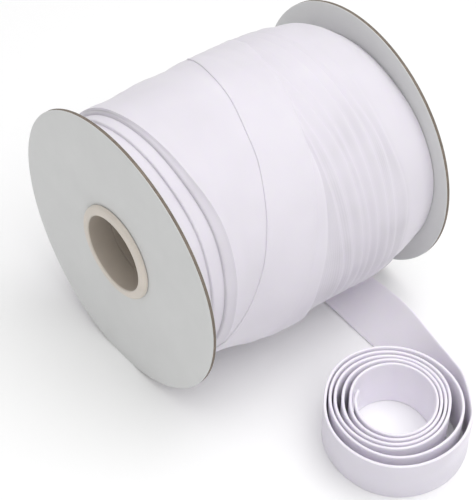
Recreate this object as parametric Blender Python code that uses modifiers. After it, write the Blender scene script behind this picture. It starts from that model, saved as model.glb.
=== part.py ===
"""Roll of bias tape: a flanged reel lying on its rims, its last turn drawn off into a loose coil.

The reel's axis runs along X. Every length is in metres unless its name ends in _R, which is a
share of the flange radius. Angles round the reel are in degrees from the top, growing towards
the front (-Y), so 90 is the front, 180 the underside and -90 the back.
"""
import math
from collections import namedtuple

import bmesh
import bpy
from mathutils import Vector

# Driving sizes
FLANGE_RADIUS = 0.066
FLANGE_THICKNESS = 0.0019
FLANGE_EDGE_ROUND = 0.0004
TAPE_WIDTH = 0.025
TAPE_THICKNESS = 0.0013
BORE_RADIUS = 0.0181
SLEEVE_WALL = 0.0014
CORE_WALL = 0.0018
SLEEVE_DEPTH = 0.0095
COLLAR_RADIUS = 0.0225
COLLAR_HEIGHT = 0.00245
COLLAR_INNER_ROUND = 0.0006
FLARE_START = 0.0230
GAP = 0.0003
SKIN_GAP = 0.0005
FLAT_DEPTH = 0.0002

# The collar's rounded lip: shares of the way from its outer side to the bore, and of its height
Lip = namedtuple("Lip", "inwards height")
COLLAR_LIP = (
    Lip(0.86, 1.00),
    Lip(0.62, 1.00),
    Lip(0.42, 0.94),
    Lip(0.16, 0.72),
    Lip(0.00, 0.35),
)

# Each end disc: its face's place at the hub, its radius, how far it leans inwards in degrees at its top
# and at its front, and how far its rim stands out of flat: all round, and more so at its top and bottom
End = namedtuple("End", "label side face_x middle_y radius top front flare bend")
ENDS = (
    End("near", -1, -0.0659, 0.0008, 0.0665, -0.5, 2.0, 0.0013, 0.0006),
    End("far", 1, 0.0676, 0.0, 0.0660, 1.5, 1.7, 0.0013, 0.0),
)
NEAR, FAR = ENDS

# Steps of the winding
STACK_STEP = 0.0011
RIB_HEIGHT = 0.0004
EDGE_HALF_WIDTH = 0.00035
FIRST_RIB_RISE = 0.008

# Mesh fineness
DISC_STEPS = 72
HUB_STEPS = 48
WOUND_STEPS = 72
TURN_STEP_DEGREES = 5.0
RIBBON_STEP = 0.0042
POINTS_ACROSS = 5
FLATTEN_LENGTH = 0.030
SHARP_DEGREES = 30.0
MERGE_DISTANCE = 0.00001

# How far round a point the last turn feels for the winding it rests on, and how the loose end's
# heading is read
SUPPORT_REACH = 0.003
SUPPORT_SAMPLES = 5
HEADING_REACH = 0.0005

AXIS_HEIGHT = FLANGE_RADIUS - FLAT_DEPTH

# Radius of the winding under its edges, as shares of the flange radius.
# back is read 41 degrees behind the top, front 125 degrees before it.
Profile = namedtuple("Profile", "x_R back_R front_R")
WINDING_PROFILE = (
    Profile(-0.98, 0.915, 0.860),
    Profile(-0.88, 0.925, 0.860),
    Profile(-0.77, 0.930, 0.862),
    Profile(-0.69, 0.929, 0.868),
    Profile(-0.60, 0.930, 0.882),
    Profile(-0.47, 0.940, 0.922),
    Profile(-0.34, 0.950, 0.956),
    Profile(-0.24, 0.948, 0.966),
    Profile(-0.15, 0.945, 0.964),
    Profile(-0.06, 0.949, 0.950),
    Profile(0.02, 0.947, 0.934),
    Profile(0.12, 0.941, 0.928),
    Profile(0.26, 0.943, 0.934),
    Profile(0.39, 0.946, 0.938),
    Profile(0.50, 0.944, 0.946),
    Profile(0.60, 0.936, 0.941),
    Profile(0.76, 0.917, 0.918),
    Profile(0.98, 0.890, 0.890),
)
BACK_ANGLE = -48.0

# Where each edge of the wound tape lies along the axis, as shares of the flange radius,
# at these angles round the reel. The stack steps down towards the near disc.
EDGE_ANGLES = (-100.0, -20.0, 25.0, 50.0, 75.0, 100.0, 150.0, 205.0)
STACK_EDGES = (
    (-0.885, -0.871, -0.842, -0.823, -0.838, -0.862, -0.895, -0.895),
    (-0.835, -0.797, -0.757, -0.729, -0.748, -0.787, -0.855, -0.855),
    (-0.790, -0.776, -0.712, -0.663, -0.680, -0.724, -0.790, -0.800),
)
RIB_EDGES = (
    (-0.040, 0.020, 0.070, 0.075, -0.010, -0.112, -0.080, -0.050),
    (0.135, 0.125, 0.120, 0.113, 0.110, 0.135, 0.130, 0.130),
    (0.200, 0.165, 0.165, 0.185, 0.192, 0.215, 0.220, 0.215),
    (0.270, 0.248, 0.250, 0.284, 0.283, 0.292, 0.295, 0.285),
    (0.335, 0.318, 0.320, 0.330, 0.343, 0.346, 0.350, 0.345),
    (0.420, 0.420, 0.421, 0.414, 0.412, 0.416, 0.415, 0.418),
    (0.500, 0.498, 0.499, 0.503, 0.497, 0.500, 0.505, 0.503),
    (0.565, 0.548, 0.550, 0.580, 0.565, 0.572, 0.580, 0.575),
    (0.660, 0.640, 0.635, 0.645, 0.685, 0.668, 0.675, 0.670),
)
# Where the winding starts to fall towards the far disc and where it meets it, as shares of the flange
# radius, and its radius there at the same angles
FAR_FALL = (0.80, 0.975)
FAR_END = (0.800, 0.795, 0.822, 0.866, 0.884, 0.864, 0.850, 0.820)

# Plain columns of the winding's mesh between the stack and the ribs, and beyond the ribs
COLUMNS_BEFORE_RIBS = 6
COLUMNS_AFTER_RIBS = 3

# Middle line of the last turn, from where it starts under the front to where it leaves the underside
Turn = namedtuple("Turn", "angle x_R")
LAST_TURN = (
    Turn(165.0, -0.735),
    Turn(140.0, -0.690),
    Turn(125.0, -0.620),
    Turn(114.0, -0.555),
    Turn(101.0, -0.474),
    Turn(88.0, -0.392),
    Turn(75.0, -0.313),
    Turn(63.0, -0.244),
    Turn(52.0, -0.185),
    Turn(38.0, -0.109),
    Turn(26.0, -0.063),
    Turn(9.0, 0.014),
    Turn(-9.0, 0.078),
    Turn(-41.0, 0.210),
    Turn(-90.0, 0.400),
    Turn(-135.0, 0.530),
    Turn(-180.0, 0.600),
)

# Loose end on the floor: middle of its underside, its lift off the floor in metres, its roll in degrees
Lead = namedtuple("Lead", "x_R y_R lift roll")
LEAD = (
    Lead(0.612, -0.12, 0.0015, 2.0),
    Lead(0.620, -0.30, 0.0007, 9.0),
    Lead(0.613, -0.60, 0.0002, 20.0),
    Lead(0.591, -0.86, 0.0, 32.0),
    Lead(0.571, -1.00, 0.0, 42.0),
    Lead(0.552, -1.13, 0.0, 52.0),
    Lead(0.529, -1.30, 0.0, 63.0),
    Lead(0.517, -1.47, 0.0, 74.0),
    Lead(0.513, -1.63, 0.0, 84.0),
    Lead(0.497, -1.77, 0.0, 90.0),
)

# Loose coil on its edge, wound inwards clockwise from above: at eight directions its tape's roll in
# degrees, less than 90 where it leans outwards, and its outer radius halfway up the tape
COIL_CENTRE_R = (-0.026, -1.668)
COIL_SCALE = 0.96
COIL_DIRECTIONS = (0.0, -45.0, -90.0, -135.0, -180.0, -225.0, -270.0, -315.0)
COIL_ROLLS = (90.0, 90.0, 86.8, 82.7, 83.3, 90.0, 90.0, 90.0)
COIL_TURNS = (
    (0.548, 0.527, 0.525, 0.527, 0.496, 0.477, 0.502, 0.498),
    (0.476, 0.467, 0.452, 0.451, 0.426, 0.445, 0.461, 0.455),
    (0.421, 0.376, 0.372, 0.383, 0.388, 0.411, 0.421, 0.416),
    (0.386, 0.349, 0.340, 0.346, 0.348, 0.358, 0.376, 0.384),
    (0.355, 0.320, 0.308, 0.308, 0.305, 0.307, 0.330, 0.346),
)
COIL_INNER_TURN = (0.322, 0.293, 0.279, 0.271, 0.262)
COIL_END = (-240.0, 90.0, 0.268)


def between(low, high, share):
    return low + (high - low) * share


def smooth_value(places, values, at):
    """Value at a place on a smooth curve through the table's points."""
    last = len(places) - 1
    slot = 0
    while slot < last - 1 and at > places[slot + 1]:
        slot += 1
    before, after = max(slot - 1, 0), min(slot + 2, last)
    width = places[slot + 1] - places[slot]
    slope_in = (values[slot + 1] - values[before]) / (places[slot + 1] - places[before])
    slope_out = (values[after] - values[slot]) / (places[after] - places[slot])
    t = min(max((at - places[slot]) / width, 0.0), 1.0)
    rise_in = width * slope_in * (t - 2 * t * t + t ** 3)
    rise_out = width * slope_out * (t ** 3 - t * t)
    ease = 3 * t * t - 2 * t ** 3
    return between(values[slot], values[slot + 1], ease) + rise_in + rise_out


def round_value(angles, values, at):
    """The same on a curve that closes after a full turn."""
    places = [angles[-2] - 360, angles[-1] - 360, *angles, angles[0] + 360, angles[1] + 360]
    closed = [values[-2], values[-1], *values, values[0], values[1]]
    turned_back = (at - angles[0]) % 360 + angles[0]
    return smooth_value(places, closed, turned_back)


def on_reel(x, radius, angle):
    """Point at a place along the axis, a radius and an angle from the top."""
    turn = math.radians(angle)
    return Vector((x, -radius * math.sin(turn), AXIS_HEIGHT + radius * math.cos(turn)))


# Scene, collections and materials
def clear_scene():
    for old in list(bpy.data.objects):
        bpy.data.objects.remove(old, do_unlink=True)


def new_collection(name):
    collection = bpy.data.collections.new(name)
    bpy.context.scene.collection.children.link(collection)
    return collection


def new_material(name, colour, roughness, metallic=0.0):
    material = bpy.data.materials.new(name)
    material.use_nodes = True
    shader = material.node_tree.nodes["Principled BSDF"]
    shader.inputs["Base Color"].default_value = (*colour, 1.0)
    shader.inputs["Roughness"].default_value = roughness
    shader.inputs["Metallic"].default_value = metallic
    material.diffuse_color = (*colour, 1.0)
    return material


def new_object(name, mesh, material, collection, parent):
    item = bpy.data.objects.new(name, mesh)
    mesh.materials.append(material)
    collection.objects.link(item)
    item.parent = parent
    return item


def new_empty(name, location, collection, parent=None):
    empty = bpy.data.objects.new(name, None)
    empty.location = location
    empty.parent = parent
    collection.objects.link(empty)
    return empty


# Turned pieces: a closed profile of (radius, height) swept round its own Z axis
def turned(name, profile, steps, material, collection, parent):
    mesh = bpy.data.meshes.new(name)
    shape = bmesh.new()
    points = [shape.verts.new((radius, 0.0, height)) for radius, height in profile]
    for first, second in zip(points, points[1:] + points[:1]):
        shape.edges.new((first, second))
    shape.to_mesh(mesh)
    shape.free()
    item = new_object(name, mesh, material, collection, parent)
    screw = item.modifiers.new("Turn", "SCREW")
    screw.axis = "Z"
    screw.steps = steps
    screw.render_steps = steps
    screw.use_merge_vertices = True
    screw.merge_threshold = MERGE_DISTANCE
    screw.use_smooth_shade = True
    return item


def end_normal(end):
    """Outward direction of an end disc that leans inwards at its top and at its front."""
    slope_y = -math.tan(math.radians(end.front))
    slope_z = math.tan(math.radians(end.top))
    return Vector((end.side, slope_y, slope_z)).normalized()


def end_middle(end, depth=0.0):
    """Middle of an end, at a depth behind its face at the hub."""
    return Vector((end.face_x, end.middle_y, end.radius - FLAT_DEPTH)) - end_normal(end) * depth


def rim_rise(end, across, up):
    """How far an end disc stands out of flat at a place on it."""
    radius = math.hypot(across, up)
    share = min(max((radius - FLARE_START) / (end.radius - FLARE_START), 0.0), 1.0)
    return share * (end.flare + end.bend * (up * up - across * across) / (radius * radius))


def end_surface_x(end, depth, y, z):
    """Place along X of an end disc's surface, at a depth behind its outer face."""
    normal = end_normal(end)
    middle = end_middle(end, depth)
    across, up = y - middle.y, z - middle.z
    flat_x = middle.x - (normal.y * across + normal.z * up) / normal.x
    return flat_x + end.side * rim_rise(end, across, up)


def end_circle_point(end, depth, radius, angle):
    """Point on a circle round an end's own axis, at an angle from its top towards the front."""
    normal = end_normal(end)
    up = (Vector((0.0, 0.0, 1.0)) - normal * normal.z).normalized()
    front = normal.cross(up) * end.side
    turn = math.radians(angle)
    return end_middle(end, depth) + (up * math.cos(turn) + front * math.sin(turn)) * radius


def disc_profile(rim):
    hole = BORE_RADIUS + CORE_WALL + 2 * GAP
    ease = FLANGE_EDGE_ROUND
    low = -FLANGE_THICKNESS
    return (
        (hole, 0.0),
        (FLARE_START, 0.0),
        (rim - ease, 0.0),
        (rim, -ease),
        (rim, low + ease),
        (rim - ease, low),
        (FLARE_START, low),
        (hole, low),
    )


def collar_profile():
    """Short sleeve in the bore with a rounded lip over the disc's hole."""
    outer = BORE_RADIUS + SLEEVE_WALL
    lip = [
        (between(COLLAR_RADIUS, BORE_RADIUS, point.inwards), between(GAP, COLLAR_HEIGHT, point.height))
        for point in COLLAR_LIP
    ]
    return (
        (BORE_RADIUS, -SLEEVE_DEPTH),
        (BORE_RADIUS, COLLAR_HEIGHT - COLLAR_INNER_ROUND),
        *lip,
        (COLLAR_RADIUS, GAP),
        (outer, GAP),
        (outer, -SLEEVE_DEPTH),
    )


def floor_cutter(collection):
    """Box whose top is the floor, to cut the flat spot of each disc."""
    mesh = bpy.data.meshes.new("floor_cutter")
    shape = bmesh.new()
    bmesh.ops.create_cube(shape, size=1.0)
    bmesh.ops.translate(shape, verts=shape.verts, vec=(0.0, 0.0, -0.5))
    shape.to_mesh(mesh)
    shape.free()
    cutter = bpy.data.objects.new("floor_cutter", mesh)
    cutter.hide_render = True
    cutter.display_type = "WIRE"
    collection.objects.link(cutter)
    return cutter


def flare_disc(disc, end):
    """Turn the disc's modifier into plain mesh and move its rim out of flat."""
    bpy.context.view_layer.update()
    shown = bpy.context.evaluated_depsgraph_get()
    mesh = bpy.data.meshes.new_from_object(disc.evaluated_get(shown))
    disc.modifiers.clear()
    disc.data = mesh
    for vertex in mesh.vertices:
        vertex.co.z += rim_rise(end, vertex.co.x, vertex.co.y)


def make_end(end, card, plastic, collection, parent, cutter):
    """One end of the reel: card disc and plastic collar, leaning together."""
    holder = new_empty(f"end_{end.label}", end_middle(end), collection, parent)
    holder.rotation_mode = "QUATERNION"
    holder.rotation_quaternion = end_normal(end).to_track_quat("Z", "Y")
    disc = turned(f"flange_{end.label}", disc_profile(end.radius), DISC_STEPS, card, collection, holder)
    flare_disc(disc, end)
    cut = disc.modifiers.new("Flat spot", "BOOLEAN")
    cut.operation = "DIFFERENCE"
    cut.solver = "EXACT"
    cut.object = cutter
    turned(f"collar_{end.label}", collar_profile(), HUB_STEPS, plastic, collection, holder)


# Lofts: closed sections joined all the way round the axis
def lofted(name, sections, material, collection, parent):
    shape = bmesh.new()
    loops = [[shape.verts.new(point) for point in section] for section in sections]
    for here, there in zip(loops, loops[1:] + loops[:1]):
        count = len(here)
        for index in range(count):
            after = (index + 1) % count
            shape.faces.new((here[index], there[index], there[after], here[after]))
    bmesh.ops.recalc_face_normals(shape, faces=shape.faces)
    mesh = bpy.data.meshes.new(name)
    shape.to_mesh(mesh)
    shape.free()
    mesh.shade_smooth()
    mesh.set_sharp_from_angle(angle=math.radians(SHARP_DEGREES))
    return new_object(name, mesh, material, collection, parent)


def make_core(plastic, collection, parent):
    """Tube between the two collar sleeves, each of its ends square to that sleeve."""
    seam = SLEEVE_DEPTH + GAP
    outer = BORE_RADIUS + CORE_WALL
    corners = ((FAR, BORE_RADIUS), (FAR, outer), (NEAR, outer), (NEAR, BORE_RADIUS))
    sections = []
    for step in range(HUB_STEPS):
        angle = 360.0 * step / HUB_STEPS
        sections.append([end_circle_point(end, seam, radius, angle) for end, radius in corners])
    lofted("core_tube", sections, plastic, collection, parent)


# Winding
def winding_edges(table, angle):
    return [FLANGE_RADIUS * round_value(EDGE_ANGLES, row, angle) for row in table]


def past_edge(x, edge):
    """0 before an edge, 1 past it, and even in between."""
    return min(max((x - edge + EDGE_HALF_WIDTH) / (2 * EDGE_HALF_WIDTH), 0.0), 1.0)


def base_radius(x, angle):
    places = [row.x_R for row in WINDING_PROFILE]
    back = smooth_value(places, [row.back_R for row in WINDING_PROFILE], x / FLANGE_RADIUS)
    front = smooth_value(places, [row.front_R for row in WINDING_PROFILE], x / FLANGE_RADIUS)
    share = (1 - math.cos(math.radians(angle - BACK_ANGLE))) / 2
    start, end = FAR_FALL
    fall = min(max((x / FLANGE_RADIUS - start) / (end - start), 0.0), 1.0)
    met = round_value(EDGE_ANGLES, FAR_END, angle)
    return FLANGE_RADIUS * between(between(back, front, share), met, fall * fall)


def rib_lift(x, ribs):
    """The tape rises slowly towards each lap's edge and drops at it."""
    starts = [ribs[0] - FIRST_RIB_RISE, *ribs]
    for start, edge in zip(starts, ribs):
        if start < x <= edge + EDGE_HALF_WIDTH:
            slow = min((x - start) / (edge - EDGE_HALF_WIDTH - start), 1.0)
            return RIB_HEIGHT * slow * (1 - past_edge(x, edge))
    return 0.0


def winding_radius(x, angle):
    """Radius of the wound tape's surface."""
    steps = sum(1 - past_edge(x, edge) for edge in winding_edges(STACK_EDGES, angle))
    ribs = winding_edges(RIB_EDGES, angle)
    return base_radius(x, angle) - STACK_STEP * steps + rib_lift(x, ribs)


def winding_row(angle):
    """Points along the winding at one angle, from its near end to its far end."""
    tips = {}
    for end in ENDS:
        radius = winding_radius(end.face_x, angle)
        tip = on_reel(end.face_x, radius, angle)
        tip.x = end_surface_x(end, FLANGE_THICKNESS + SKIN_GAP, tip.y, tip.z)
        tips[end] = tip
    stack = winding_edges(STACK_EDGES, angle)
    ribs = winding_edges(RIB_EDGES, angle)
    places = []
    for edge in stack:
        places += [edge - EDGE_HALF_WIDTH, edge + EDGE_HALF_WIDTH]
    for step in range(1, COLUMNS_BEFORE_RIBS + 1):
        places.append(between(stack[-1], ribs[0], step / (COLUMNS_BEFORE_RIBS + 1)))
    for edge in ribs:
        places += [edge - EDGE_HALF_WIDTH, edge + EDGE_HALF_WIDTH]
    for step in range(1, COLUMNS_AFTER_RIBS + 1):
        places.append(between(ribs[-1], tips[FAR].x, step / (COLUMNS_AFTER_RIBS + 1)))
    outer = [on_reel(x, winding_radius(x, angle), angle) for x in places]
    return [tips[NEAR], *outer, tips[FAR]]


def bore_pair(angle):
    """Points of the winding's bore at one angle, at its far end and at its near end."""
    radius = BORE_RADIUS + CORE_WALL + SKIN_GAP
    seam = SLEEVE_DEPTH + GAP
    far = end_circle_point(FAR, seam, radius, angle)
    near = end_circle_point(NEAR, seam, radius, angle)
    along = (far - near).normalized()
    pair = []
    for end, point in ((FAR, far), (NEAR, near)):
        wanted = end_surface_x(end, FLANGE_THICKNESS + SKIN_GAP, point.y, point.z)
        pair.append(point + along * (wanted - point.x) / along.x)
    return pair


def make_winding(cloth, collection, parent):
    """The wound tape, from its outside to its bore."""
    angles = [360.0 * step / WOUND_STEPS for step in range(WOUND_STEPS)]
    sections = [winding_row(angle) + bore_pair(angle) for angle in angles]
    lofted("tape_wound", sections, cloth, collection, parent)


# Ribbons: an open strip of points with a thickness towards its inner side
def make_ribbon(name, rows, cloth, collection, parent):
    shape = bmesh.new()
    grid = [[shape.verts.new(point) for point in row] for row in rows]
    for here, there in zip(grid, grid[1:]):
        for index in range(len(here) - 1):
            shape.faces.new((here[index], here[index + 1], there[index + 1], there[index]))
    mesh = bpy.data.meshes.new(name)
    shape.to_mesh(mesh)
    shape.free()
    mesh.shade_smooth()
    ribbon = new_object(name, mesh, cloth, collection, parent)
    shell = ribbon.modifiers.new("Thickness", "SOLIDIFY")
    shell.thickness = TAPE_THICKNESS
    shell.offset = -1.0
    shell.use_even_offset = True
    shell.use_rim = True
    return ribbon


def spread(steps, half):
    """Evenly spaced offsets from -half to half."""
    return [between(-half, half, step / (steps - 1)) for step in range(steps)]


def turn_middle(angle):
    rows = LAST_TURN[::-1]
    return FLANGE_RADIUS * smooth_value([row.angle for row in rows], [row.x_R for row in rows], angle)


def support_radius(x, angle):
    """Highest winding radius close to a point, which is what a flat tape rests on."""
    return max(
        winding_radius(x + shift, angle + turn)
        for shift in spread(SUPPORT_SAMPLES, SUPPORT_REACH)
        for turn in spread(SUPPORT_SAMPLES, TURN_STEP_DEGREES / 2)
    )


def turn_row(angle):
    """Points across the last turn's outer side, square to its middle line."""
    middle = turn_middle(angle)
    slope = (turn_middle(angle + 1) - turn_middle(angle - 1)) / math.radians(2)
    radius = winding_radius(middle, angle)
    long = math.hypot(radius, slope)
    row = []
    for offset in spread(POINTS_ACROSS, TAPE_WIDTH / 2):
        x = middle + offset * radius / long
        here = angle - math.degrees(offset * slope / long / radius)
        row.append(on_reel(x, support_radius(x, here) + SKIN_GAP + TAPE_THICKNESS, here))
    return row


def last_turn_rows():
    start, end = LAST_TURN[0].angle, LAST_TURN[-1].angle
    count = round((start - end) / TURN_STEP_DEGREES)
    return [turn_row(between(start, end, step / count)) for step in range(count + 1)]


def coil_points():
    """Middle line of the coil's outer side, with no lift, and the tape's roll."""
    found = []
    for radii in (*COIL_TURNS, COIL_INNER_TURN):
        found += zip(COIL_DIRECTIONS, COIL_ROLLS, radii)
    found.append(COIL_END)
    places = []
    for direction, roll, radius in found[1:]:
        turn = math.radians(direction)
        x = COIL_CENTRE_R[0] + COIL_SCALE * radius * math.cos(turn)
        y = COIL_CENTRE_R[1] + COIL_SCALE * radius * math.sin(turn)
        places.append((x * FLANGE_RADIUS, y * FLANGE_RADIUS, 0.0, roll))
    return places


def loose_path():
    """Rows of x, y, lift and roll from the reel's underside to the coil's inner end."""
    leave = turn_row(LAST_TURN[-1].angle)
    middle = leave[len(leave) // 2]
    lead = [(row.x_R * FLANGE_RADIUS, row.y_R * FLANGE_RADIUS, row.lift, row.roll) for row in LEAD]
    return [(middle.x, middle.y, middle.z, 0.0), *lead, *coil_points()]


def loose_rows():
    """Points across the loose end, a step apart along its smooth path."""
    path = loose_path()
    along = [0.0]
    for (x0, y0, *_), (x1, y1, *_) in zip(path, path[1:]):
        along.append(along[-1] + math.hypot(x1 - x0, y1 - y0))
    columns = list(zip(*path))
    count = round(along[-1] / RIBBON_STEP)
    rows = []
    for step in range(count + 1):
        at = along[-1] * step / count
        x, y, lift, roll = (smooth_value(along, column, at) for column in columns)
        ahead = [smooth_value(along, columns[k], min(at + HEADING_REACH, along[-1])) for k in (0, 1)]
        behind = [smooth_value(along, columns[k], max(at - HEADING_REACH, 0.0)) for k in (0, 1)]
        heading = Vector((ahead[0] - behind[0], ahead[1] - behind[1], 0.0)).normalized()
        left = Vector((-heading.y, heading.x, 0.0))
        tilt = math.radians(min(roll, 90.0))
        across = left * math.cos(tilt) + Vector((0.0, 0.0, math.sin(tilt)))
        middle = Vector((x, y, max(lift, 0.0) + TAPE_WIDTH / 2 * math.sin(tilt)))
        rows.append([middle + across * offset for offset in spread(POINTS_ACROSS, TAPE_WIDTH / 2)])
    leave = turn_row(LAST_TURN[-1].angle)
    for row in rows[1:]:
        fade = max(1 + (row[0].y + row[-1].y) / 2 / FLATTEN_LENGTH, 0.0)
        for share, point, bowed in zip(spread(len(row), 0.5), row, leave):
            straight = between(leave[0].z, leave[-1].z, share + 0.5)
            point.z += fade * (bowed.z - straight)
    rows[0] = [point - Vector((0.0, SKIN_GAP, 0.0)) for point in leave]
    return rows


def make_loose_end(cloth, collection, parent):
    """The last turn on the reel, the run over the floor and the coil, cut where each rests anew."""
    make_ribbon("tape_last_turn", last_turn_rows(), cloth, collection, parent)
    rows = loose_rows()
    coil_start = next(index for index, row in enumerate(rows) if row[0].y < LEAD[-2].y_R * FLANGE_RADIUS)
    make_ribbon("tape_lead", rows[: coil_start + 1], cloth, collection, parent)
    here, there = rows[coil_start], rows[coil_start + 1]
    share = SKIN_GAP / (there[0] - here[0]).length
    parted = [first.lerp(second, share) for first, second in zip(here, there)]
    edges = [(row[0], row[-1]) for row in (parted, *rows[coil_start + 1:])]
    make_ribbon("tape_coil", edges, cloth, collection, parent)


def centre_on_floor(origin, collection):
    """Move the whole model so that its box stands centred over the world's origin."""
    bpy.context.view_layer.update()
    shown = bpy.context.evaluated_depsgraph_get()
    corners = []
    for item in collection.objects:
        if item.type == "MESH":
            solid = item.evaluated_get(shown)
            corners += [solid.matrix_world @ vertex.co for vertex in solid.data.vertices]
    for axis in (0, 1):
        values = [corner[axis] for corner in corners]
        origin.location[axis] = -(min(values) + max(values)) / 2


def main():
    clear_scene()
    parts = new_collection("bias_tape_roll")
    cutters = new_collection("cutters")
    card = new_material("card", (0.60, 0.61, 0.60), 0.75)
    plastic = new_material("plastic", (0.60, 0.53, 0.46), 0.45)
    cloth = new_material("cloth", (0.80, 0.78, 0.86), 0.85)
    origin = new_empty("reel", (0.0, 0.0, 0.0), parts)
    cutter = floor_cutter(cutters)
    for end in ENDS:
        make_end(end, card, plastic, parts, origin, cutter)
    make_core(plastic, parts, origin)
    make_winding(cloth, parts, origin)
    make_loose_end(cloth, parts, origin)
    centre_on_floor(origin, parts)


main()
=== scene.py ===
"""Looks of the roll of bias tape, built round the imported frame.

The reel's axis runs along X. Lengths are in metres unless a name ends in _R, which is a share of
the disc's radius. Angles round the reel are in degrees from the top, growing towards the front.
"""

import math
from collections import namedtuple

import bmesh
import bpy
import numpy as np
from mathutils import Matrix, Vector


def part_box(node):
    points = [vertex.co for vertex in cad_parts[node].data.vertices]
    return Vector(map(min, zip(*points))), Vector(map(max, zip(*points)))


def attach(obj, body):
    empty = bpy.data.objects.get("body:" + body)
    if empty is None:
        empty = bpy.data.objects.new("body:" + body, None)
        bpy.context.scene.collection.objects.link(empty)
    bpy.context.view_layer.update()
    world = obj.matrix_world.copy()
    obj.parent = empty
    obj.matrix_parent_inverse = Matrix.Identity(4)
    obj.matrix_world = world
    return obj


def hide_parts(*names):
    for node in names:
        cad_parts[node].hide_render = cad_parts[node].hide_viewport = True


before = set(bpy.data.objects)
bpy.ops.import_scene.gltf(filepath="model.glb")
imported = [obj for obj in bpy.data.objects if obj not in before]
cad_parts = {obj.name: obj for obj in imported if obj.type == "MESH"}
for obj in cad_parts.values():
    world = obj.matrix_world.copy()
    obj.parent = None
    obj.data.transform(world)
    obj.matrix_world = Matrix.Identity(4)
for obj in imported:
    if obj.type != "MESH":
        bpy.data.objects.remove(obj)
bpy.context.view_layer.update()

# Driving sizes, as in the frame's solids
DISC_RADIUS = 0.066
DISC_THICKNESS = 0.0019
FLAT_DEPTH = 0.0002
BORE_RADIUS = 0.0181
SLEEVE_WALL = 0.0014
CORE_WALL = 0.0018
SLEEVE_DEPTH = 0.0095
COLLAR_RADIUS = 0.0225
COLLAR_HEIGHT = 0.00245
FLARE_START = 0.0230
TAPE_WIDTH = 0.025
TAPE_THICKNESS = 0.0013
GAP = 0.0003
SKIN_GAP = 0.0005
AXIS_HEIGHT = DISC_RADIUS - FLAT_DEPTH

# Finer sizes, in the looks alone. The last is how much of the taut tape stands out of the winding.
FACING_THICKNESS = 0.00028
BOARD_RECESS = 0.00012
SEAM_EASE = 0.0003
LIP_ROUND = 0.0007
SHOULDER_ROUND = 0.0016
SHOULDER_SINK = 0.0018
COLLAR_CREST = ((0.0012, 0.0), (0.0018, 0.00010))
TAUT_THICKNESS = 0.0008
PROUD_SHARE = 0.7

# Each end disc: its face's place at the hub, its radius, how far it leans inwards in degrees at its top
# and at its front, and how far its rim stands out of flat: all round, and more so at its top and bottom
End = namedtuple("End", "label side face_x middle_y radius top front flare bend")
ENDS = (
    End("near", -1, -0.0659, 0.0008, 0.0665, -0.5, 2.0, 0.0013, 0.0006),
    End("far", 1, 0.0676, 0.0, 0.0660, 1.5, 1.7, 0.0013, 0.0),
)
NEAR, FAR = ENDS

# Steps of the winding
STACK_STEP = 0.0011
STACK_ROUND = 0.0007
SHOULDER_DROP = 0.0015
RIB_HEIGHT = 0.0009
RIB_ROUND = 0.0003
FIRST_RIB_RISE = 0.008
WAVE_HEIGHT = 0.00006

# Painted light and shade on the wound cloth: the angles over which the painted highlights on its folds come
# and go, the reach of the painted shade among its folds at the first and past the last fold, and the width of
# each line and how dark its painted shade is
FOLDS_SEEN = (15.0, 45.0, 120.0, 160.0)
FOLDS_REACH = (0.0008, 0.004)
FOLD_WIDTH = 0.00035
FOLDS_PAINTED_SHADE = 0.55
LAYER_WIDTH = 0.0005
LAYER_PAINTED_SHADE = 0.6
SLOPE_PAINTED_SHADE = 0.45
# Name of the mesh attribute that carries the painted light and shade
PAINTED_FOLD_ATTRIBUTE = "painted_fold_light"

# Mesh fineness, with the frame's own hub steps
HUB_STEPS = 48
TURNED_STEPS = 240
WOUND_STEPS = 400
COLUMN_STEP = 0.0014
TURN_STEP_DEGREES = 1.5
STRIP_STEP = 0.0018
POINTS_ACROSS = 17
EDGE_STEPS = 6
COIL_STEP_DEGREES = 15
SETTLE_ROUNDS = 6

# Radius of the winding under its edges, 48 degrees behind the top and opposite
Profile = namedtuple("Profile", "x_R back_R front_R")
WINDING_PROFILE = (
    Profile(-0.98, 0.915, 0.860),
    Profile(-0.88, 0.925, 0.860),
    Profile(-0.77, 0.930, 0.862),
    Profile(-0.69, 0.929, 0.868),
    Profile(-0.60, 0.930, 0.882),
    Profile(-0.47, 0.940, 0.922),
    Profile(-0.34, 0.950, 0.956),
    Profile(-0.24, 0.948, 0.966),
    Profile(-0.15, 0.945, 0.964),
    Profile(-0.06, 0.949, 0.950),
    Profile(0.02, 0.947, 0.934),
    Profile(0.12, 0.941, 0.928),
    Profile(0.26, 0.943, 0.934),
    Profile(0.39, 0.946, 0.938),
    Profile(0.50, 0.944, 0.946),
    Profile(0.60, 0.936, 0.941),
    Profile(0.76, 0.917, 0.918),
    Profile(0.98, 0.890, 0.890),
)
BACK_ANGLE = -48.0
MEAN_WOUND_R = 0.93
HIDDEN_LENGTHS = (0.04, 0.18, 0.22)

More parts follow.
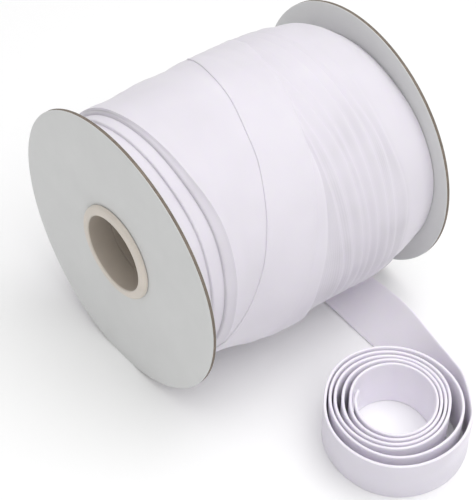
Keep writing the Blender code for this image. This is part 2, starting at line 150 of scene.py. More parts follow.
# Where the layers' edges lie along the axis at these angles, as in the frame's solids
EDGE_ANGLES = (-100.0, -20.0, 25.0, 50.0, 75.0, 100.0, 150.0, 205.0)
STACK_EDGES = (
    (-0.885, -0.871, -0.842, -0.823, -0.838, -0.862, -0.895, -0.895),
    (-0.835, -0.797, -0.757, -0.729, -0.748, -0.787, -0.855, -0.855),
    (-0.790, -0.776, -0.712, -0.663, -0.680, -0.724, -0.790, -0.800),
)
RIB_EDGES = (
    (-0.040, 0.020, 0.070, 0.075, -0.010, -0.112, -0.080, -0.050),
    (0.135, 0.125, 0.120, 0.113, 0.110, 0.135, 0.130, 0.130),
    (0.200, 0.165, 0.165, 0.185, 0.192, 0.215, 0.220, 0.215),
    (0.270, 0.248, 0.250, 0.284, 0.283, 0.292, 0.295, 0.285),
    (0.335, 0.318, 0.320, 0.330, 0.343, 0.346, 0.350, 0.345),
    (0.420, 0.420, 0.421, 0.414, 0.412, 0.416, 0.415, 0.418),
    (0.500, 0.498, 0.499, 0.503, 0.497, 0.500, 0.505, 0.503),
    (0.565, 0.548, 0.550, 0.580, 0.565, 0.572, 0.580, 0.575),
    (0.660, 0.640, 0.635, 0.645, 0.685, 0.668, 0.675, 0.670),
)

# Where the winding starts to fall towards the far disc and where it meets it, and its radius there
FAR_FALL = (0.80, 0.975)
FAR_END = (0.800, 0.795, 0.822, 0.866, 0.884, 0.864, 0.850, 0.820)

# Middle line of the last turn
Turn = namedtuple("Turn", "angle x_R")
LAST_TURN = (
    Turn(165.0, -0.735),
    Turn(140.0, -0.690),
    Turn(125.0, -0.620),
    Turn(114.0, -0.555),
    Turn(101.0, -0.474),
    Turn(88.0, -0.392),
    Turn(75.0, -0.313),
    Turn(63.0, -0.244),
    Turn(52.0, -0.185),
    Turn(38.0, -0.109),
    Turn(26.0, -0.063),
    Turn(9.0, 0.014),
    Turn(-9.0, 0.078),
    Turn(-41.0, 0.210),
    Turn(-90.0, 0.400),
    Turn(-135.0, 0.530),
    Turn(-180.0, 0.600),
)

# Loose end on the floor: middle of its underside, its lift off the floor in metres, its roll in degrees
Lead = namedtuple("Lead", "x_R y_R lift roll")
LEAD = (
    Lead(0.612, -0.12, 0.0015, 2.0),
    Lead(0.620, -0.30, 0.0007, 9.0),
    Lead(0.613, -0.60, 0.0002, 20.0),
    Lead(0.591, -0.86, 0.0, 32.0),
    Lead(0.571, -1.00, 0.0, 42.0),
    Lead(0.552, -1.13, 0.0, 52.0),
    Lead(0.529, -1.30, 0.0, 63.0),
    Lead(0.517, -1.47, 0.0, 74.0),
    Lead(0.513, -1.63, 0.0, 84.0),
    Lead(0.497, -1.77, 0.0, 90.0),
)
FLATTEN_LENGTH = 0.030

# Lengths along the loose end over which painted shade darkens its outer face, and fades again inside the coil
COIL_PAINTED_SHADE = (0.10, 0.14, 0.29, 0.31)

# Loose coil on its edge, wound inwards clockwise from above: at eight directions its tape's roll in
# degrees, less than 90 where it leans outwards, and its outer radius halfway up the tape
COIL_CENTRE_R = (-0.026, -1.668)
COIL_SCALE = 0.96
COIL_DIRECTIONS = (0.0, -45.0, -90.0, -135.0, -180.0, -225.0, -270.0, -315.0)
COIL_ROLLS = (90.0, 90.0, 86.8, 82.7, 83.3, 90.0, 90.0, 90.0)
COIL_TURNS = (
    (0.548, 0.527, 0.525, 0.527, 0.496, 0.477, 0.502, 0.498),
    (0.476, 0.467, 0.452, 0.451, 0.426, 0.445, 0.461, 0.455),
    (0.421, 0.376, 0.372, 0.383, 0.388, 0.411, 0.421, 0.416),
    (0.386, 0.349, 0.340, 0.346, 0.348, 0.358, 0.376, 0.384),
    (0.355, 0.320, 0.308, 0.308, 0.305, 0.307, 0.330, 0.346),
)
COIL_INNER_TURN = (0.322, 0.293, 0.279, 0.271, 0.262)
COIL_END = (-240.0, 90.0, 0.268)

# Camera: place as shares of the disc's radius from the floor under the reel's middle
CAMERA_R = (-4.161, -5.358, 6.943)
VIEW_DIRECTION = (0.4421, 0.5708, -0.6919)
LENS = 94.9
SENSOR = 36.0

CLOTH_COLOUR = (0.746, 0.716, 0.774)
# The same cloth painted lighter for the loose end, as painted light
LOOSE_PAINTED_LIGHT_COLOUR = (0.900, 0.865, 0.950)
FACING_COLOUR = (0.685, 0.690, 0.685)
BOARD_COLOUR = (0.20, 0.165, 0.135)
PLASTIC_COLOUR = (0.700, 0.640, 0.570)
# The same plastic painted darker for the bore, as painted shade
BORE_PAINTED_SHADE_COLOUR = (0.512, 0.455, 0.395)
FLOOR_COLOUR = (0.97, 0.97, 0.97)
THREAD_PITCH = 0.00034

# Studio light: a white sky and three round lamps, all aimed at one point
SKY_STRENGTH = 0.56
LAMP_TARGET = (0.0, 0.0, 0.05)
Lamp = namedtuple("Lamp", "name place size power")
LAMPS = (
    Lamp("key", (0.0, -0.45, 1.45), 2.0, 11.6),
    Lamp("top", (0.35, 0.05, 1.45), 1.0, 3.2),
    Lamp("fill", (0.45, -0.75, 1.30), 1.6, 2.7),
)


def between(low, high, share):
    return low + (high - low) * share


# Smooth curves through the tables
def smooth_curve(places, values, at):
    places = np.asarray(places, float)
    values = np.asarray(values, float)
    last = len(places) - 1
    slot = np.clip(np.searchsorted(places, at) - 1, 0, last - 1)
    before = np.maximum(slot - 1, 0)
    after = np.minimum(slot + 2, last)
    width = places[slot + 1] - places[slot]
    slope_in = (values[slot + 1] - values[before]) / (places[slot + 1] - places[before])
    slope_out = (values[after] - values[slot]) / (places[after] - places[slot])
    t = np.clip((at - places[slot]) / width, 0.0, 1.0)
    rise = width * (slope_in * t * (1 - t) ** 2 - slope_out * t * t * (1 - t))
    return between(values[slot], values[slot + 1], t * t * (3 - 2 * t)) + rise


def round_curve(angles, values, at):
    """The same on a curve that closes after a full turn."""
    places = [angles[-2] - 360, angles[-1] - 360, *angles, angles[0] + 360, angles[1] + 360]
    closed = [values[-2], values[-1], *values, values[0], values[1]]
    return smooth_curve(places, closed, (np.asarray(at) - angles[0]) % 360 + angles[0])


def on_reel(x, radius, angle):
    """Points in the frame from places along the axis, radii and angles from the top."""
    turn = np.radians(angle)
    x, radius, turn = np.broadcast_arrays(x, radius, turn)
    y = -radius * np.sin(turn)
    z = AXIS_HEIGHT + radius * np.cos(turn)
    return np.stack([x, y, z], axis=-1) + np.array(REEL_PLACE)


# Materials
def new_material(name, colour, roughness):
    material = bpy.data.materials.new(name)
    material.use_nodes = True
    shader = material.node_tree.nodes["Principled BSDF"]
    shader.inputs["Base Color"].default_value = (*colour, 1.0)
    shader.inputs["Roughness"].default_value = roughness
    material.diffuse_color = (*colour, 1.0)
    return material


class Graph:
    """Short calls for adding nodes to a material and joining them."""

    def __init__(self, material):
        self.tree = material.node_tree
        self.shader = material.node_tree.nodes["Principled BSDF"]

    def add(self, kind, **settings):
        node = self.tree.nodes.new(kind)
        for key, value in settings.items():
            setattr(node, key, value)
        return node

    def join(self, source, target):
        self.tree.links.new(source, target)

    def maths(self, operation, first, second=None):
        node = self.add("ShaderNodeMath", operation=operation)
        for socket, value in zip(node.inputs, (first, second)):
            if isinstance(value, (int, float)):
                socket.default_value = value
            elif value is not None:
                self.join(value, socket)
        return node.outputs[0]

    def uv(self, scale=(1.0, 1.0, 1.0), turn=0.0):
        place = self.add("ShaderNodeTexCoord")
        mapping = self.add("ShaderNodeMapping")
        mapping.inputs["Scale"].default_value = scale
        mapping.inputs["Rotation"].default_value = (0.0, 0.0, turn)
        self.join(place.outputs["UV"], mapping.inputs["Vector"])
        return mapping.outputs["Vector"]

    def place(self):
        return self.add("ShaderNodeTexCoord").outputs["Object"]

    def noise(self, vector, scale, detail=3.0, roughness=0.5):
        node = self.add("ShaderNodeTexNoise")
        node.inputs["Scale"].default_value = scale
        node.inputs["Detail"].default_value = detail
        node.inputs["Roughness"].default_value = roughness
        self.join(vector, node.inputs["Vector"])
        return node.outputs["Fac"]

    def ramp(self, value, stops):
        node = self.add("ShaderNodeValToRGB")
        elements = node.color_ramp.elements
        while len(elements) < len(stops):
            elements.new(0.5)
        for element, (position, colour) in zip(elements, stops):
            element.position = position
            element.color = (*colour, 1.0)
        self.join(value, node.inputs["Fac"])
        return node.outputs["Color"]

    def bump(self, height, strength, distance, normal=None):
        node = self.add("ShaderNodeBump")
        node.inputs["Strength"].default_value = strength
        node.inputs["Distance"].default_value = distance
        self.join(height, node.inputs["Height"])
        if normal is not None:
            self.join(normal, node.inputs["Normal"])
        return node.outputs["Normal"]

    def colour(self, source):
        self.join(source, self.shader.inputs["Base Color"])

    def normal(self, source):
        self.join(source, self.shader.inputs["Normal"])


def tinted(colour, share):
    return tuple(min(channel * share, 1.0) for channel in colour)


def make_cloth(name, colour):
    """Fine plain weave cut on the bias, its threads at 45 degrees to the tape, with painted highlights and
    painted shade along its folded edges.
    """
    material = new_material(name, colour, 0.62)
    graph = Graph(material)
    graph.shader.inputs["Sheen Weight"].default_value = 0.15
    graph.shader.inputs["Sheen Roughness"].default_value = 0.4
    graph.shader.inputs["Specular IOR Level"].default_value = 0.35
    graph.shader.inputs["Subsurface Weight"].default_value = 0.5
    graph.shader.inputs["Subsurface Radius"].default_value = (0.004, 0.0035, 0.0046)
    threads = graph.add("ShaderNodeSeparateXYZ")
    graph.join(graph.uv(turn=math.radians(45)), threads.inputs["Vector"])
    wave = math.pi / THREAD_PITCH
    warp = graph.maths("SINE", graph.maths("MULTIPLY", threads.outputs["X"], wave))
    weft = graph.maths("SINE", graph.maths("MULTIPLY", threads.outputs["Y"], wave))
    weave = graph.maths("MULTIPLY", warp, weft)
    slub = graph.noise(graph.uv(turn=math.radians(45)), 900.0, 2.0)
    soft = graph.noise(graph.place(), 28.0, 2.0)
    height = graph.maths("ADD", graph.maths("MULTIPLY", weave, 0.5), slub)
    # Painted highlights and painted shade from the mesh attribute, added to the weave's own tone
    folds = graph.add("ShaderNodeAttribute", attribute_name=PAINTED_FOLD_ATTRIBUTE)
    even = graph.maths("ADD", graph.maths("MULTIPLY", weave, 0.10), soft)
    tone_and_painted_light = graph.maths("ADD", even, graph.maths("MULTIPLY", folds.outputs["Fac"], 0.5))
    graph.colour(graph.ramp(tone_and_painted_light, [
        (0.0, tinted(colour, 0.82)),
        (0.30, tinted(colour, 0.965)),
        (0.50, colour),
        (0.70, tinted(colour, 1.02)),
        (1.0, tinted(colour, 1.16)),
    ]))
    graph.normal(graph.bump(height, 0.22, 0.00005))
    return material


def make_facing():
    """Smooth grey paper over the board, with the faintest mottle and grain."""
    material = new_material("paper_facing", FACING_COLOUR, 0.55)
    graph = Graph(material)
    graph.shader.inputs["Specular IOR Level"].default_value = 0.4
    mottle = graph.noise(graph.place(), 55.0, 4.0, 0.6)
    grain = graph.noise(graph.place(), 2600.0, 2.0)
    graph.colour(graph.ramp(mottle, [
        (0.30, tinted(FACING_COLOUR, 0.975)),
        (0.55, FACING_COLOUR),
        (0.80, tinted(FACING_COLOUR, 1.02)),
    ]))
    graph.normal(graph.bump(grain, 0.12, 0.00004))
    return material


def make_board():
    """Cut edge of brown board: fine plies along the rim, with darker nicks."""
    material = new_material("board_edge", BOARD_COLOUR, 0.9)
    graph = Graph(material)
    plies = graph.noise(graph.uv(scale=(60.0, 5200.0, 1.0)), 1.0, 4.0, 0.65)
    nicks = graph.noise(graph.uv(scale=(420.0, 900.0, 1.0)), 1.0, 2.0, 0.5)
    mixed = graph.maths("ADD", graph.maths("MULTIPLY", plies, 0.65), graph.maths("MULTIPLY", nicks, 0.35))
    graph.colour(graph.ramp(mixed, [
        (0.30, tinted(BOARD_COLOUR, 0.45)),
        (0.50, BOARD_COLOUR),
        (0.68, tinted(BOARD_COLOUR, 1.5)),
    ]))
    graph.normal(graph.bump(mixed, 0.7, 0.00025))
    return material


def make_plastic(name, colour):
    """Satin moulded plastic with a faint uneven skin."""
    material = new_material(name, colour, 0.42)
    graph = Graph(material)
    graph.shader.inputs["Subsurface Weight"].default_value = 0.08
    graph.shader.inputs["Subsurface Radius"].default_value = (0.002, 0.0015, 0.001)
    cloud = graph.noise(graph.place(), 90.0, 3.0)
    skin = graph.noise(graph.place(), 1500.0, 2.0)
    graph.colour(graph.ramp(cloud, [
        (0.30, tinted(colour, 0.96)),
        (0.70, tinted(colour, 1.03)),
    ]))
    graph.normal(graph.bump(skin, 0.10, 0.00005))
    return material


# Meshes from grids of points
def grid_mesh(name, points, uv, materials, closed_rows, closed_columns, row_slots=None):
    """Mesh over a grid of points, one face for each cell, with its UV in metres."""
    rows, columns = points.shape[:2]
    row_cells = rows if closed_rows else rows - 1
    column_cells = columns if closed_columns else columns - 1
    i, j = np.meshgrid(np.arange(row_cells), np.arange(column_cells), indexing="ij")
    i_next = (i + 1) % rows
    j_next = (j + 1) % columns
    faces = np.stack(
        [i * columns + j, i * columns + j_next, i_next * columns + j_next, i_next * columns + j], axis=-1
    ).reshape(-1, 4)
    mesh = bpy.data.meshes.new(name)
    mesh.from_pydata(points.reshape(-1, 3).tolist(), [], faces.tolist())
    corners = np.stack([uv[i, j], uv[i, j + 1], uv[i + 1, j + 1], uv[i + 1, j]], axis=2)
    layer = mesh.uv_layers.new(name="metres")
    layer.data.foreach_set("uv", corners.reshape(-1).astype(np.float32))
    for material in materials:
        mesh.materials.append(material)
    if row_slots is not None:
        slots = np.repeat(np.asarray(row_slots), column_cells)
        mesh.polygons.foreach_set("material_index", slots.astype(np.int32))
    mesh.shade_smooth()
    return mesh


def place_piece(name, mesh, slot, *nodes):
    piece = bpy.data.objects.new(name, mesh)
    bpy.context.scene.collection.objects.link(piece)
    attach(piece, "root")
    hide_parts(*nodes)
    return piece


# Ends of the reel
def end_normal(end):
    """Outward direction of an end disc that leans inwards at its top and at its front."""
    slope_y = -math.tan(math.radians(end.front))
    slope_z = math.tan(math.radians(end.top))
    return Vector((end.side, slope_y, slope_z)).normalized()


def end_middle(end, depth=0.0):
    """Middle of an end, at a depth behind its face at the hub, from the reel's place."""
    return Vector((end.face_x, end.middle_y, end.radius - FLAT_DEPTH)) - end_normal(end) * depth


def rim_rise(end, across, up):
    """How far an end disc stands out of flat at places on it."""
    radius = np.hypot(across, up)
    share = np.clip((radius - FLARE_START) / (end.radius - FLARE_START), 0.0, 1.0)
    return share * (end.flare + end.bend * (up ** 2 - across ** 2) / radius ** 2)


def end_surface_x(end, depth, y, z):
    """Places along X of an end disc's surface, at a depth behind its outer face."""
    normal = end_normal(end)
    middle = end_middle(end, depth)
    across, up = y - middle.y, z - middle.z
    flat_x = middle.x - (normal.y * across + normal.z * up) / normal.x
    return flat_x + end.side * rim_rise(end, across, up)


def end_circle(end, depth, radius, angle):
    """Points of a circle round an end's own axis, at angles from its top towards the front."""
    normal = end_normal(end)
    up = (Vector((0.0, 0.0, 1.0)) - normal * normal.z).normalized()
    front = normal.cross(up) * end.side
    turn = np.radians(angle)[:, None]
    outwards = np.cos(turn) * np.array(up) + np.sin(turn) * np.array(front)
    return np.array(end_middle(end, depth)) + radius * outwards


def find_reel():
    """The reel's place in the frame, from where the hub tube's own box lies."""
    angle = np.linspace(0.0, 360.0, HUB_STEPS, endpoint=False)
    rings = [end_circle(end, SLEEVE_DEPTH + GAP, BORE_RADIUS + CORE_WALL, angle) for end in ENDS]
    points = np.concatenate(rings)
    low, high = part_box("core_tube")
    shift = (np.array(low) + np.array(high) - points.min(axis=0) - points.max(axis=0)) / 2
    return Vector((shift[0], shift[1], 0.0))


REEL_PLACE = find_reel()


def end_place(end):
    turn = end_normal(end).to_track_quat("Z", "Y").to_matrix().to_4x4()
    return Matrix.Translation(REEL_PLACE + end_middle(end)) @ turn


# Turned pieces
def turned_mesh(name, profile, place, materials, slots, flared=None, sharp_degrees=35.0):
    """Closed profile of (radius, height) turned round the place's Z axis, and flared as an end's disc."""
    around = np.linspace(0.0, 2 * math.pi, TURNED_STEPS, endpoint=False)
    radii, heights = np.array(profile).T
    local = np.stack([
        radii[:, None] * np.cos(around),
        radii[:, None] * np.sin(around),
        np.repeat(heights[:, None], TURNED_STEPS, axis=1),
    ], axis=-1)
    if flared is not None:
        local[..., 2] += rim_rise(flared, local[..., 0], local[..., 1])
    turn = np.array(place.to_3x3())
    points = local @ turn.T + np.array(place.translation)
    points[..., 2] = np.maximum(points[..., 2], 0.0)
    loop = np.vstack([profile, profile[:1]])
    along = np.concatenate([[0.0], np.cumsum(np.hypot(*np.diff(loop, axis=0).T))])
    arc = np.linspace(0.0, 2 * math.pi * radii.max(), TURNED_STEPS + 1)
    u, v = np.meshgrid(arc, along)
    mesh = grid_mesh(name, points, np.stack([u, v], axis=-1), materials, True, True, slots)
    mesh.set_sharp_from_angle(angle=math.radians(sharp_degrees))
    return mesh


def arc_points(centre, radius, start, end, steps):
    """Points on an arc of a profile, with angles in degrees from outwards to upwards."""
    turns = np.radians(np.linspace(start, end, steps))
    return [(centre[0] + radius * math.cos(t), centre[1] + radius * math.sin(t)) for t in turns]


def disc_profile(rim):
    """Board between two paper facings, with the hole's edge at each end of the list."""
    hole = BORE_RADIUS + CORE_WALL + 2 * GAP
    lip = FACING_THICKNESS
    low = -DISC_THICKNESS
    upper = arc_points((rim - lip, -lip), lip, 90, 0, 4)
    lower = arc_points((rim - lip, low + lip), lip, 0, -90, 4)
    radii = [hole, FLARE_START, *(between(hole, rim - lip, share) for share in (0.3, 0.6, 0.9))]
    rings = [(radius, 0.0) for radius in radii]
    back = [(radius, low) for radius in radii[::-1]]
    inset = rim - BOARD_RECESS
    board = [(inset, -1.25 * lip), (rim - BOARD_RECESS / 2, low / 2), (inset, low + 1.25 * lip)]
    profile = [*rings, *upper, *board, *lower, *back]
    first = len(rings) + len(upper)
    slots = [1 if first - 1 <= index < first + len(board) else 0 for index in range(len(profile))]
    return profile, slots


def collar_profile():
    """Sleeve in the bore and a low rounded ring, with its crest by the bore."""
    outer = BORE_RADIUS + SLEEVE_WALL
    top = COLLAR_HEIGHT
    inner = arc_points((BORE_RADIUS + LIP_ROUND, top - LIP_ROUND), LIP_ROUND, 180, 90, 6)
    crown = [(BORE_RADIUS + out, top - down) for out, down in COLLAR_CREST]
    middle = (COLLAR_RADIUS - SHOULDER_ROUND, top - SHOULDER_SINK)
    shoulder = arc_points(middle, SHOULDER_ROUND, 72, 0, 8)
    return [
        (BORE_RADIUS, -SLEEVE_DEPTH),
        (BORE_RADIUS, 0.0),
        *inner,
        *crown,
        *shoulder,
        (COLLAR_RADIUS, GAP),
        (outer, GAP),
        (outer, -SLEEVE_DEPTH),
    ]


def make_ends(facing, board, plastic, painted_shade_plastic):
    ring = collar_profile()[::-1]
    following = ring[1:] + ring[:1]
    # Rows inside the bore take the plastic painted darker, as painted shade
    walls = [int(max(here[0], there[0]) <= BORE_RADIUS) for here, there in zip(ring, following)]
    for end in ENDS:
        profile, slots = disc_profile(end.radius)
        faces = slots[::-1][1:] + slots[-1:]
        name = f"disc_{end.label}"
        disc = turned_mesh(name, profile[::-1], end_place(end), [facing, board], faces, end)
        place_piece(name, disc, "card", f"flange_{end.label}")
        name = f"hub_ring_{end.label}"
        collar = turned_mesh(name, ring, end_place(end), [plastic, painted_shade_plastic], walls)
        place_piece(name, collar, "plastic", f"collar_{end.label}")


def make_hub(plastic):
    """Tube between the two sleeves, each of its ends square to that sleeve."""
    seam = SLEEVE_DEPTH + GAP
    outer = BORE_RADIUS + CORE_WALL
    angle = np.linspace(0.0, 360.0, TURNED_STEPS, endpoint=False)
    corners = (
        (FAR, seam, outer),
        (NEAR, seam, outer),
        (NEAR, seam, BORE_RADIUS + SEAM_EASE),
        (NEAR, seam + SEAM_EASE, BORE_RADIUS),
        (FAR, seam + SEAM_EASE, BORE_RADIUS),
        (FAR, seam, BORE_RADIUS + SEAM_EASE),
    )
    rings = [end_circle(end, depth, radius, angle) for end, depth, radius in corners]
    points = np.stack(rings) + np.array(REEL_PLACE)
    loop = np.concatenate([points[:, 0], points[:1, 0]])
    along = np.concatenate([[0.0], np.cumsum(np.linalg.norm(np.diff(loop, axis=0), axis=-1))])
    u, v = np.meshgrid(np.linspace(0.0, 2 * math.pi * outer, TURNED_STEPS + 1), along)
    mesh = grid_mesh("hub_tube", points, np.stack([u, v], axis=-1), [plastic], True, True)
    mesh.set_sharp_from_angle(angle=math.radians(35))
    place_piece("hub_tube", mesh, "plastic", "core_tube")


# Winding
def edge_places(table, angle):
    return [DISC_RADIUS * round_curve(EDGE_ANGLES, row, angle) for row in table]


def fold(distance, reach):
    """Rounded edge: 0 before it, rising on a quarter circle to 1 a reach past it."""
    share = np.clip(distance / reach, 0.0, 1.0)
    return np.sqrt(1 - (1 - share) ** 2)


def base_radius(x, angle):
    places = [row.x_R for row in WINDING_PROFILE]
    back = smooth_curve(places, [row.back_R for row in WINDING_PROFILE], x / DISC_RADIUS)
    front = smooth_curve(places, [row.front_R for row in WINDING_PROFILE], x / DISC_RADIUS)
    share = (1 - np.cos(np.radians(angle - BACK_ANGLE))) / 2
    start, end = FAR_FALL
    fall = np.clip((x / DISC_RADIUS - start) / (end - start), 0.0, 1.0)
    met = round_curve(EDGE_ANGLES, FAR_END, angle)
    return DISC_RADIUS * between(between(back, front, share), met, fall ** 2)


def slow_waves(x, angle):
    """Gentle unevenness of the wound layers, the same on every run."""
    turn = np.radians(angle)
    return WAVE_HEIGHT * (
        np.sin(3 * turn + 310 * x)
        + 0.7 * np.sin(7 * turn - 520 * x + 1.3)
        + 0.5 * np.sin(11 * turn + 900 * x + 2.1)
    )


def winding_radius(x, angle):
    """Radius of the wound tape's surface."""
    radius = base_radius(x, angle) + slow_waves(x, angle)
    low, middle, high = edge_places(STACK_EDGES, angle)
    for edge in (low, middle):
        radius = radius - STACK_STEP * (1 - fold(x - edge, STACK_ROUND))
    climb = np.clip((x - middle) / (high - middle), 0.0, 1.0)
    radius = radius - SHOULDER_DROP * (1 - climb ** 2)
    ribs = edge_places(RIB_EDGES, angle)
    start = ribs[0] - FIRST_RIB_RISE
    for edge in ribs:
        inside = (x > start) & (x <= edge)
        slow = np.clip((x - start) / (edge - start), 0.0, 1.0)
        radius = radius + np.where(inside, RIB_HEIGHT * slow * fold(edge - x, RIB_ROUND), 0.0)
        start = edge
    return radius


def soft_step(value, start, end):
    """0 before the start, 1 past the end and smooth between them."""
    share = np.clip((value - start) / (end - start), 0.0, 1.0)
    return share * share * (3 - 2 * share)


def fold_line(x, edges, width):
    return sum(np.exp(-((x - edge) / width) ** 2) for edge in edges)


def painted_fold_light(x, angle):
    """Painted light and shade on the winding from -1 to 1: painted highlights on the folds with painted shade
    between them, and painted shade at the layer edges and on their slope.
    """
    ribs = edge_places(RIB_EDGES, angle)
    low, middle, high = edge_places(STACK_EDGES, angle)
    seen = soft_step(angle, *FOLDS_SEEN[:2]) * (1 - soft_step(angle, *FOLDS_SEEN[2:]))
    first, last = ribs[0], ribs[-1]
    among = soft_step(x, first, first + FOLDS_REACH[0]) * (1 - soft_step(x, last, last + FOLDS_REACH[1]))
    painted_laps = seen * (fold_line(x, ribs, FOLD_WIDTH) - FOLDS_PAINTED_SHADE * among)
    slope = (x > middle) & (x < high)
    return painted_laps - LAYER_PAINTED_SHADE * fold_line(x, (low, middle), LAYER_WIDTH) - SLOPE_PAINTED_SHADE * slope


# Stores painted light and shade on the mesh's points
def add_painted_light(mesh, painted_light_values):
    layer = mesh.attributes.new(PAINTED_FOLD_ATTRIBUTE, "FLOAT", "POINT")
    layer.data.foreach_set("value", painted_light_values.reshape(-1).astype(np.float32))


def winding_end(end, angle):
    """Places along X where the winding meets an end disc."""
    radius = winding_radius(np.full_like(angle, end.face_x), angle)
    turn = np.radians(angle)
    y, z = -radius * np.sin(turn), AXIS_HEIGHT + radius * np.cos(turn)
    return end_surface_x(end, DISC_THICKNESS + GAP, y, z)


def winding_columns(angle):
    """Places along the winding: close together at every edge, even between them."""
    beyond = (-0.9, -0.3, -0.06, 0.0, 0.02, 0.08, 0.20, 0.40, 0.70, 1.4)
    marks = [winding_end(NEAR, angle)]
    for edge in edge_places(STACK_EDGES, angle):
        marks += [edge + share * STACK_ROUND for share in beyond]
    for edge in edge_places(RIB_EDGES, angle):
        marks += [edge - share * RIB_ROUND for share in beyond[::-1]]
    marks.append(winding_end(FAR, angle))
    columns = [marks[0]]
    for here, there in zip(marks, marks[1:]):
        steps = max(round(float(np.mean(there - here)) / COLUMN_STEP), 1)
        columns += [between(here, there, (step + 1) / steps) for step in range(steps)]
    return np.stack(columns, axis=-1)


def make_winding(cloth):
    """Wound tape as one closed shape; its UV over its hidden sides is only roughly in metres."""
    angle = np.linspace(0.0, 360.0, WOUND_STEPS, endpoint=False)
    x = winding_columns(angle)
    around = np.repeat(angle[:, None], x.shape[1], axis=1)
    radius = winding_radius(x, around)
    outside = on_reel(x, radius, around)
    bore = BORE_RADIUS + CORE_WALL + SKIN_GAP
    rings = [end_circle(end, DISC_THICKNESS + SKIN_GAP, bore, angle) for end in (FAR, NEAR)]
    inside = np.stack(rings, axis=1) + np.array(REEL_PLACE)
    points = np.concatenate([outside, inside], axis=1)
    across = np.concatenate([x[0], x[0, -1] + np.array(HIDDEN_LENGTHS)])
    arc = np.linspace(0.0, 2 * math.pi * DISC_RADIUS * MEAN_WOUND_R, WOUND_STEPS + 1)
    v, u = np.meshgrid(across, arc)
    mesh = grid_mesh("winding", points, np.stack([u, v], axis=-1), [cloth], True, True)
    mesh.flip_normals()
    # Painted highlights and painted shade on the outer face, none on the hidden inside
    painted_light_values = np.concatenate([painted_fold_light(x, around), np.zeros(inside.shape[:2])], axis=1)
    add_painted_light(mesh, painted_light_values)
    mesh.set_sharp_from_angle(angle=math.radians(60))
    place_piece("winding", mesh, "cloth", "tape_wound")


# The strip: last turn, lead and coil in one length of tape
def turn_grid(offsets):
    """Outer face of the last turn, row by row along it."""
    rows = LAST_TURN[::-1]
    places = [row.angle for row in rows]
    values = [row.x_R * DISC_RADIUS for row in rows]
    start, end = LAST_TURN[0].angle, LAST_TURN[-1].angle
    angle = np.linspace(start, end, round((start - end) / TURN_STEP_DEGREES) + 1)
    middle = smooth_curve(places, values, angle)
    ahead, behind = (smooth_curve(places, values, angle + step) for step in (1, -1))
    slope = (ahead - behind) / math.radians(2)
    radius = winding_radius(middle, angle)
    long = np.hypot(radius, slope)
    x = middle[:, None] + offsets * (radius / long)[:, None]
    here = angle[:, None] - np.degrees(offsets * (slope / long / radius)[:, None])
    support = winding_radius(x, here)
    settled = support.copy()
    for _ in range(SETTLE_ROUNDS):
        settled[1:-1] = (settled[:-2] + 2 * settled[1:-1] + settled[2:]) / 4
        settled[:, 1:-1] = (settled[:, :-2] + 2 * settled[:, 1:-1] + settled[:, 2:]) / 4
        settled = np.maximum(settled, support)
    return on_reel(x, settled + PROUD_SHARE * TAUT_THICKNESS, here)


def coil_places():
    """Close points round the coil's turns, from the first after the lead to the free end."""
    found = []
    for turn, row in enumerate((*COIL_TURNS, COIL_INNER_TURN)):
        found += [(360 * turn - place, *rest) for place, *rest in zip(COIL_DIRECTIONS, COIL_ROLLS, row)]
    place, *rest = COIL_END
    found.append((360 * len(COIL_TURNS) - place, *rest))
    directions, rolls, radii = zip(*found)
    turned = np.arange(45.0, directions[-1] + 0.5, COIL_STEP_DEGREES)
    spread = COIL_SCALE * DISC_RADIUS * smooth_curve(directions, radii, turned)
    roll = smooth_curve(directions, rolls, turned)
    x = COIL_CENTRE_R[0] * DISC_RADIUS + spread * np.cos(np.radians(turned))
    y = COIL_CENTRE_R[1] * DISC_RADIUS - spread * np.sin(np.radians(turned))
    return np.stack([x, y, np.zeros_like(x), roll], axis=-1).tolist()


def loose_grid(offsets, leave):
    """Outer face of the loose end, from the reel's underside to the coil's inner end."""
    middle = leave[len(offsets) // 2] - np.array(REEL_PLACE)
    lead = [(row.x_R * DISC_RADIUS, row.y_R * DISC_RADIUS, row.lift, row.roll) for row in LEAD]
    path = np.array([(middle[0], middle[1], middle[2], 0.0), *lead, *coil_places()])
    along = np.concatenate([[0.0], np.cumsum(np.hypot(*np.diff(path[:, :2], axis=0).T))])
    at = np.linspace(0.0, along[-1], round(along[-1] / STRIP_STEP) + 1)
    x, y, lift, roll = (smooth_curve(along, column, at) for column in path.T)
    heading = np.stack([np.gradient(x), np.gradient(y)], axis=-1)
    heading /= np.linalg.norm(heading, axis=-1, keepdims=True)
    tilt = np.radians(np.clip(roll, 0.0, 90.0))
    across = np.stack([-heading[:, 1] * np.cos(tilt), heading[:, 0] * np.cos(tilt), np.sin(tilt)], axis=-1)
    centre = np.stack([x, y, np.maximum(lift, 0.0) + TAPE_WIDTH / 2 * np.sin(tilt)], axis=-1)
    grid = centre[:, None, :] + offsets[None, :, None] * across[:, None, :] + np.array(REEL_PLACE)
    share = (offsets - offsets[0]) / (offsets[-1] - offsets[0])
    bow = leave[:, 2] - between(leave[0, 2], leave[-1, 2], share)
    fade = np.clip(1 + y / FLATTEN_LENGTH, 0.0, 1.0)
    grid[..., 2] += fade[:, None] * bow[None, :]
    grid[0] = leave
    return grid[1:]


def strip_section(grid, normals, across, thickness):
    """Closed cross-sections round a grid of its outer face: two flat sides and two round folds."""
    half = thickness[:, None, None] / 2
    core = grid - normals * half
    top = core + normals * half
    bottom = core - normals * half
    turns = np.radians(np.linspace(0.0, 180.0, EDGE_STEPS + 1))[1:-1]
    folds = []
    for side, edge in ((1, -1), (-1, 0)):
        out, up = across[:, edge], normals[:, edge]
        ring = [core[:, edge] + side * half[:, 0] * (np.sin(t) * out + np.cos(t) * up) for t in turns]
        folds.append(np.stack(ring, 1))
    return np.concatenate([top, folds[0], bottom[:, ::-1], folds[1]], axis=1)


def unit(vectors):
    return vectors / np.linalg.norm(vectors, axis=-1, keepdims=True)


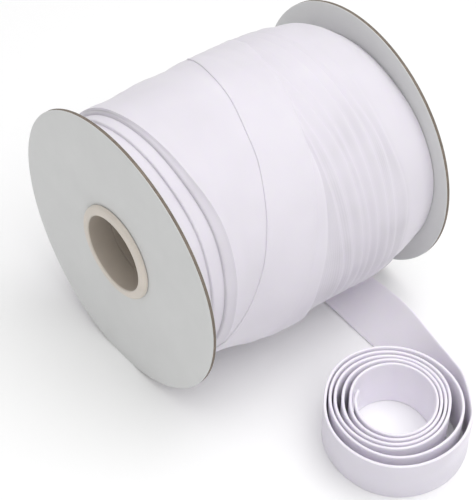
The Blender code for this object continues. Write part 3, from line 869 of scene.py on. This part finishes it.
def make_strip(cloth, lighter_painted_loose_cloth):
    reach = (TAPE_WIDTH - TAPE_THICKNESS) / 2
    offsets = np.linspace(-reach, reach, POINTS_ACROSS)
    wound = turn_grid(offsets)
    loose = loose_grid(offsets, wound[-1])
    grid = np.concatenate([wound, loose])
    ahead = unit(np.gradient(grid, axis=0))
    across = unit(np.gradient(grid, axis=1))
    normals = unit(np.cross(across, ahead))
    steps = np.linalg.norm(np.diff(grid[:, POINTS_ACROSS // 2], axis=0), axis=-1)
    along = np.concatenate([[0.0], np.cumsum(steps)])
    turn_end = along[len(wound) - 1]
    ease = np.clip((along - turn_end) / FLATTEN_LENGTH, 0.0, 1.0)
    thickness = between(TAUT_THICKNESS, TAPE_THICKNESS, ease)
    points = strip_section(grid, normals, across, thickness)
    loop = np.concatenate([points[0], points[0, :1]])
    round_section = np.concatenate([[0.0], np.cumsum(np.linalg.norm(np.diff(loop, axis=0), axis=-1))])
    v, u = np.meshgrid(round_section, np.append(along, along[-1] + STRIP_STEP))
    # The loose end takes the same cloth painted lighter as painted light; the last turn keeps the plain cloth
    slots = [int(row >= len(wound)) for row in range(len(grid) - 1)]
    cloths = [cloth, lighter_painted_loose_cloth]
    mesh = grid_mesh("tape_strip", points, np.stack([u, v], axis=-1), cloths, False, True, slots)
    loose = along - turn_end
    # Painted shade darkens the outer face of the coil's outer turn
    outside = soft_step(loose, *COIL_PAINTED_SHADE[:2]) * (1 - soft_step(loose, *COIL_PAINTED_SHADE[2:]))
    painted_light_values = np.zeros(points.shape[:2])
    painted_light_values[:, :POINTS_ACROSS] = -outside[:, None]
    add_painted_light(mesh, painted_light_values)
    close_ends(mesh, points.shape)
    mesh.set_sharp_from_angle(angle=math.radians(50))
    strip = place_piece("tape_strip", mesh, "cloth", "tape_last_turn", "tape_lead", "tape_coil")


def close_ends(mesh, shape):
    """Cap both ends of the strip."""
    shaped = bmesh.new()
    shaped.from_mesh(mesh)
    shaped.verts.ensure_lookup_table()
    rows, around = shape[:2]
    for slot, first in enumerate((0, (rows - 1) * around)):
        ring = [shaped.verts[first + index] for index in range(around)]
        shaped.faces.new(ring).material_index = slot
    bmesh.ops.recalc_face_normals(shaped, faces=shaped.faces)
    bmesh.ops.triangulate(shaped, faces=[face for face in shaped.faces if len(face.verts) > 4])
    shaped.to_mesh(mesh)
    shaped.free()


# Floor, light and camera
def make_floor():
    mesh = bpy.data.meshes.new("floor")
    size = 6.0
    corners = [(-size, -size, 0), (size, -size, 0), (size, size, 0), (-size, size, 0)]
    mesh.from_pydata(corners, [], [(0, 1, 2, 3)])
    material = new_material("pale_floor", FLOOR_COLOUR, 0.9)
    mesh.materials.append(material)
    floor = bpy.data.objects.new("floor", mesh)
    bpy.context.scene.collection.objects.link(floor)


def make_lamp(lamp):
    light = bpy.data.lights.new(lamp.name, "AREA")
    light.shape = "DISK"
    light.size = lamp.size
    light.energy = lamp.power
    placed = bpy.data.objects.new(lamp.name, light)
    placed.location = lamp.place
    aim = Vector(LAMP_TARGET) - Vector(lamp.place)
    placed.rotation_euler = aim.to_track_quat("-Z", "Y").to_euler()
    bpy.context.scene.collection.objects.link(placed)


def make_light():
    world = bpy.data.worlds.new("studio")
    world.use_nodes = True
    background = world.node_tree.nodes["Background"]
    background.inputs["Color"].default_value = (1.0, 1.0, 1.0, 1.0)
    background.inputs["Strength"].default_value = SKY_STRENGTH
    bpy.context.scene.world = world
    for lamp in LAMPS:
        make_lamp(lamp)
    bpy.context.scene.view_settings.view_transform = "Standard"


def make_camera():
    data = bpy.data.cameras.new("camera")
    data.lens = LENS
    data.sensor_width = SENSOR
    camera = bpy.data.objects.new("camera", data)
    camera.location = REEL_PLACE + Vector(CAMERA_R) * DISC_RADIUS
    camera.rotation_euler = Vector(VIEW_DIRECTION).to_track_quat("-Z", "Y").to_euler()
    bpy.context.scene.collection.objects.link(camera)
    bpy.context.scene.camera = camera


make_camera()
# The bore's plastic is painted darker as painted shade, on the rings' bore walls and the hub tube
bore_plastic_painted_shade = make_plastic("bore_plastic_painted_shade", BORE_PAINTED_SHADE_COLOUR)
make_ends(make_facing(), make_board(), make_plastic("moulded_plastic", PLASTIC_COLOUR), bore_plastic_painted_shade)
make_hub(bore_plastic_painted_shade)
cloth = make_cloth("bias_cloth", CLOTH_COLOUR)
make_winding(cloth)
make_strip(cloth, make_cloth("lighter_painted_loose_cloth", LOOSE_PAINTED_LIGHT_COLOUR))
make_floor()
make_light()
